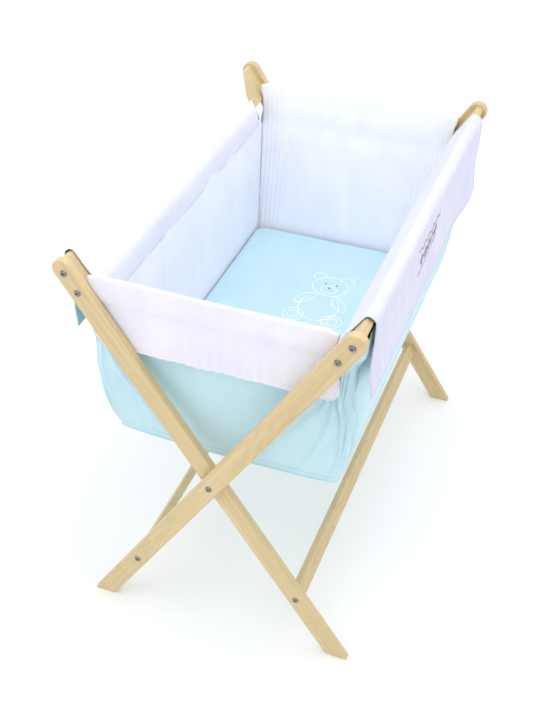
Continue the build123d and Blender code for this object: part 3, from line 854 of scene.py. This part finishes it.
def coverPoints():
    # a flat cloth folded over a rounded rectangle: what lies outside it turns down round a small edge
    a, b, r, edge = *bedding["half"], bedding["corner"], bedding["edge"]
    reach = bedding["drop"] + edge * (math.pi / 2 - 1)
    p, q = np.meshgrid(np.linspace(-a - reach, a + reach, bedding["count"][0]),
                       np.linspace(-b - reach, b + reach, bedding["count"][1]))
    cx, cy = np.clip(p, -(a - r), a - r), np.clip(q, -(b - r), b - r)
    dx, dy = p - cx, q - cy
    dist = np.maximum(np.hypot(dx, dy), 1e-9)
    over = np.where(dist > r - edge, dist - (r - edge), 0)     # length past where the edge begins to turn
    over = np.minimum(over, edge * math.pi / 2 + bedding["drop"] - edge)
    turn = np.clip(over / edge, 0, math.pi / 2)
    keep = np.where(over > 0, (r - edge + edge * np.sin(turn)) / dist, 1)
    x, y = cx + dx * keep, cy + dy * keep
    fall = edge * (1 - np.cos(turn)) + np.maximum(over - edge * math.pi / 2, 0)
    crown, soft = coverTop(x, y)
    z = bedding["top"] + crown * (over <= 0) - fall + soft
    z = np.where(over > 0, z - bedding["crown"], z)
    pucker = 0.0010 * np.cos(np.where(np.abs(dx) > np.abs(dy), y, x) * 230) * ease((fall - 0.006) / 0.012)
    return np.stack([x + dx / dist * pucker, y + dy / dist * pucker, z], -1)


coverSheet = clothPiece("mattress_cover_sheet", coverPoints(), coverCyan, coverCyan, bedding["cloth"])


def roundedBox(half, low, high, corner, edge, count=(36, 56), layers=7):
    # top and bottom grids pulled onto a rounded rectangle, joined by a curved wall
    u, v = [np.linspace(-1, 1, k) for k in count]
    perimeter = np.concatenate([
        np.stack([u[:-1], -np.ones(count[0] - 1)], -1), np.stack([np.ones(count[1] - 1), v[:-1]], -1),
        np.stack([u[:0:-1], np.ones(count[0] - 1)], -1), np.stack([-np.ones(count[1] - 1), v[:0:-1]], -1)])

    def onto(p, q, inset):
        # shares of the half sizes to x and y, a corner's square pulled onto its quarter circle
        a, b = half[0] - inset, half[1] - inset
        x, y = p * a, q * b
        cx, cy = np.clip(x, -(a - corner), a - corner), np.clip(y, -(b - corner), b - corner)
        dx, dy = x - cx, y - cy
        far = np.maximum(np.abs(dx), np.abs(dy))
        length = np.maximum(np.hypot(dx, dy), 1e-9)
        return cx + dx * far / length, cy + dy * far / length

    gu, gv = np.meshgrid(u, v)
    levels = np.linspace(-math.pi / 2, math.pi / 2, layers)
    mid = (low + high) / 2
    points = []
    for angle in (levels[0], levels[-1]):
        x, y = onto(gu, gv, edge)
        z = low if angle < 0 else high
        points.append(np.stack([x, y, 0 * x + z], -1).reshape(-1, 3))
    for angle in levels[1:-1]:
        x, y = onto(perimeter[:, 0], perimeter[:, 1], edge * (1 - math.cos(angle)))
        z = mid + (high - mid) * math.sin(angle)
        points.append(np.stack([x, y, 0 * x + z], -1))
    cols, rows = count
    index = np.arange(cols * rows).reshape(rows, cols)
    border = np.concatenate([index[0, :-1], index[:-1, -1], index[-1, :0:-1], index[:0:-1, 0]])
    quads = gridQuads(rows, cols).reshape(-1, 4)
    size, ring = cols * rows, len(border)
    faces = [quads[:, ::-1], quads + size]
    bands = [border] + [2 * size + k * ring + np.arange(ring) for k in range(layers - 2)] + [border + size]
    for below, above in zip(bands[:-1], bands[1:]):
        faces.append(np.stack([below, np.roll(below, -1), np.roll(above, -1), above], -1))
    return np.concatenate(points), np.concatenate(faces)


def applyAll(piece):
    # the modifiers' result becomes the mesh
    bpy.context.view_layer.update()
    graph = bpy.context.evaluated_depsgraph_get()
    mesh = bpy.data.meshes.new_from_object(piece.evaluated_get(graph))
    piece.modifiers.clear()
    piece.data = mesh


def puffed(piece, cap, pressure, frames, voxel):
    # voxel remesh, cloth blown up by its inner pressure, each point held within the cap of where it was
    remesh = piece.modifiers.new("remesh", "REMESH")
    remesh.mode, remesh.voxel_size = "VOXEL", voxel
    applyAll(piece)
    start = np.empty(len(piece.data.vertices) * 3)
    piece.data.vertices.foreach_get("co", start)
    cloth = piece.modifiers.new("cloth", "CLOTH")
    cloth.settings.use_pressure = True
    cloth.settings.uniform_pressure_force = pressure
    cloth.settings.quality = 4
    cloth.settings.effector_weights.gravity = 0
    cloth.point_cache.frame_start, cloth.point_cache.frame_end = 1, frames
    for k in range(1, frames + 1):
        scene.frame_set(k)
    applyAll(piece)
    scene.frame_set(1)
    moved = np.empty(len(start))
    piece.data.vertices.foreach_get("co", moved)
    start, moved = start.reshape(-1, 3), moved.reshape(-1, 3)
    change = moved - start
    size = np.linalg.norm(change, axis=1, keepdims=True)
    change = change * np.minimum(1, cap / np.maximum(size, 1e-9))
    piece.data.vertices.foreach_set("co", (start + change).ravel())
    piece.data.update()


mattress = meshPiece("mattress_pad", *roundedBox(*bedding["pad"]), ticking)
puffed(mattress, **bedding["puff"])
mattress.data.polygons.foreach_set("use_smooth", [True] * len(mattress.data.polygons))
board = meshPiece("base_board_panel", *roundedBox(*bedding["board"], (30, 44), 5), hardboard)
print("mattress, cover and board made")

# embroidery: a plain sitting bear in outline
bear = {
    "centre": (0.030, 0.100), "size": 1.22, "thread": 0.0013, "lift": 0.0002, "dotLift": 0.0004,
    "ovals": [   # middle x and y, half width, half height, turn, first and last angle in degrees
        (0.000, 0.060, 0.034, 0.029, 0, 0, 360), (-0.027, 0.086, 0.013, 0.012, 20, -10, 225),
        (0.027, 0.086, 0.013, 0.012, -20, -45, 190), (0.000, 0.050, 0.015, 0.011, 0, 0, 360),
        (0.000, -0.008, 0.037, 0.042, 0, 132, 408), (-0.033, 0.012, 0.023, 0.011, 52, 0, 360),
        (0.033, 0.012, 0.023, 0.011, -52, 0, 360), (-0.037, -0.043, 0.019, 0.018, 0, 0, 360),
        (0.037, -0.043, 0.019, 0.018, 0, 0, 360), (-0.037, -0.043, 0.010, 0.010, 0, 0, 360),
        (0.037, -0.043, 0.010, 0.010, 0, 0, 360),
    ],
    "dots": [(-0.013, 0.082, 0.0024), (0.013, 0.082, 0.0024), (0.000, 0.068, 0.0032)],   # x, y, radius
}


def oval(cx, cy, w, h, turn, first, last, points=72):
    # cosine by half width and sine by half height, turned, between two angles
    angle = np.radians(np.linspace(first, last, points))
    turn = math.radians(turn)
    x, y = w * np.cos(angle), h * np.sin(angle)
    return cx + x * math.cos(turn) - y * math.sin(turn), cy + x * math.sin(turn) + y * math.cos(turn)


def onCover(x, y, lift=0.0):
    # points on the cover's top at x and y
    crown, soft = coverTop(x, y)
    return np.stack([x, y, bedding["top"] + crown + soft + lift], -1)


parts, size = [], bear["size"]
middleX, middleY = bear["centre"]
for shape in bear["ovals"]:
    x, y = oval(*shape)
    path = onCover(middleX + x * size, middleY + y * size, bear["lift"])
    parts.append(tube(path, (0, 0, 1), bear["thread"], 0.6, 6, closed=shape[6] - shape[5] == 360))
bearStitching = tubePiece("bear_stitching", parts, whiteThread)
parts = []
for x, y, r in bear["dots"]:
    px, py = oval(x, y, r * 0.5, r * 0.5, 0, 0, 360, 12)
    path = onCover(middleX + px, middleY + py, bear["dotLift"])
    parts.append(tube(path, (0, 0, 1), r * 0.55, 0.4, 6, closed=True))
bearDots = tubePiece("bear_dots", parts, greyThread)

# a small plain motif on the right flap
motif = {
    "span": (-0.112, 0.036), "thread": 0.0009, "waves": 5,
    "waveHeight": 0.818, "waveSize": 0.005, "lineHeight": 0.766,
    "flowerHeight": 0.790, "flowerSize": 0.012, "flowers": 5, "heartSize": 0.003, "margin": 0.020,
}


def motifThreads():
    # a wavy line, a row of flowers (radius: 0.72 and 0.28 times the cosine of four turns) and a stem
    surface = sideParts[1][0]
    line = rounded(sideSheet["section"])
    near, far = sideSheet["ends"][1]
    first, last = motif["span"]
    table = np.linspace(0.55, 1, 400)
    heights = pathAt(line, table)[:, 1]

    def thread(y, z, radius, closed=False):
        # a tube on the flap's outer face through given y and z; v comes from the height
        v = np.interp(-z, -heights, table)
        points, normal = onSurface(surface, np.where(y > 0, y / far, y / near), v, 0.0)
        normal = normal * np.sign(normal[..., :1])
        return tube(points + normal * stitch["lift"], normal, radius, 0.6, 6, closed)

    run = np.linspace(first, last, 140)
    swing = np.sin((run - first) / (last - first) * math.tau * motif["waves"])
    red = [thread(run, motif["waveHeight"] + motif["waveSize"] * swing, motif["thread"]),
           thread(run, 0 * run + motif["lineHeight"], motif["thread"])]
    turn = np.linspace(0, math.tau, 72, endpoint=False)
    petals = motif["flowerSize"] * (0.72 + 0.28 * np.cos(4 * turn))
    grey = []
    for middle in np.linspace(first + motif["margin"], last - motif["margin"], motif["flowers"]):
        for radius, angle in ((petals, turn), (motif["heartSize"], turn[::6])):
            y, z = middle + radius * np.cos(angle), motif["flowerHeight"] + radius * np.sin(angle)
            grey.append(thread(y, z, motif["thread"] * 0.9, True))
    return red, grey


red, grey = motifThreads()
motifRed = tubePiece("flap_motif_lines", red, redThread)
motifGrey = tubePiece("flap_motif_flowers", grey, greyThread)
print("embroidery made")

# which body each piece rides on, and the CAD nodes they replace
def foldsAway(piece, body="left_frame"):
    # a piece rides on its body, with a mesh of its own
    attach(piece, body)
    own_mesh(piece)


for side, word in bothSides:
    surface, sheet, *trims = sideParts[side]
    trims += [motifRed, motifGrey] if side > 0 else []
    for piece in (sheet, *trims):
        if side > 0:
            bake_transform(piece)
        else:
            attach(piece, "left_frame")
    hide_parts(word + "_sleeve", word + "_flap")

for end, word in bothEnds:
    surface, sheet, *trims = endParts[end]
    for piece in (sheet, *trims):
        foldsAway(piece)
    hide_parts(word + "_liner", word + "_flap", word + "_hem")

for side, word in bothSides:
    foldsAway(linerSheets[side])
    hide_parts(word + "_liner")

for piece in (skirtSheet, piping, skirtStitching, floorCloth):
    foldsAway(piece)
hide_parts("left_outer_panel", "right_outer_panel", "near_outer_panel", "far_outer_panel")
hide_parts("basket_floor")

for piece, slotName, node in (
        (coverSheet, "cyan_cotton", "mattress_cover"), (mattress, "mattress_ticking", "mattress"),
        (board, "hardboard", "base_board")):
    foldsAway(piece, "bedding")
    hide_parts(node)
for piece in (bearStitching, bearDots):
    foldsAway(piece, "bedding")

# studio
def placed(name, data, place, direction):
    # an object at its place, looking along a direction
    made = bpy.data.objects.new(name, data)
    scene.collection.objects.link(made)
    made.location, made.rotation_mode = place, "QUATERNION"
    made.rotation_quaternion = direction.to_track_quat("-Z", "Y")
    return made


cameraData = bpy.data.cameras.new("camera")
cameraData.lens, cameraData.sensor_width = studio["lens"], studio["sensor"]
azimuth, elevation = math.radians(studio["cameraAzimuth"]), math.radians(studio["cameraElevation"])
back = Vector((math.sin(azimuth) * math.cos(elevation), -math.cos(azimuth) * math.cos(elevation),
               math.sin(elevation)))
scene.camera = placed("camera", cameraData, studio["cameraPlace"], -back)
for number, (place, aim, size, watts, colour) in enumerate(studio["lamps"]):
    lampData = bpy.data.lights.new("softbox." + str(number), "AREA")
    lampData.shape, lampData.size, lampData.energy, lampData.color = "DISK", size, watts, colour
    placed(lampData.name, lampData, place, Vector(aim) - Vector(place))

world = bpy.data.worlds.new("sky")
scene.world = world
world.use_nodes = True
sky = world.node_tree.nodes["Background"]
sky.inputs["Color"].default_value = (*studio["skyColour"], 1)
sky.inputs["Strength"].default_value = studio["skyStrength"]
scene.view_settings.view_transform = "Standard"

half = studio["floorHalf"]
floor = meshPiece("studio_floor", [(-half, -half, 0), (half, -half, 0), (half, half, 0), (-half, half, 0)],
                  [(0, 1, 2, 3)], plainMaterial("paleFloor", studio["floorColour"], studio["floorColour"],
                                                0.9, scale=2.0, rise=0.0))
print("studio set")
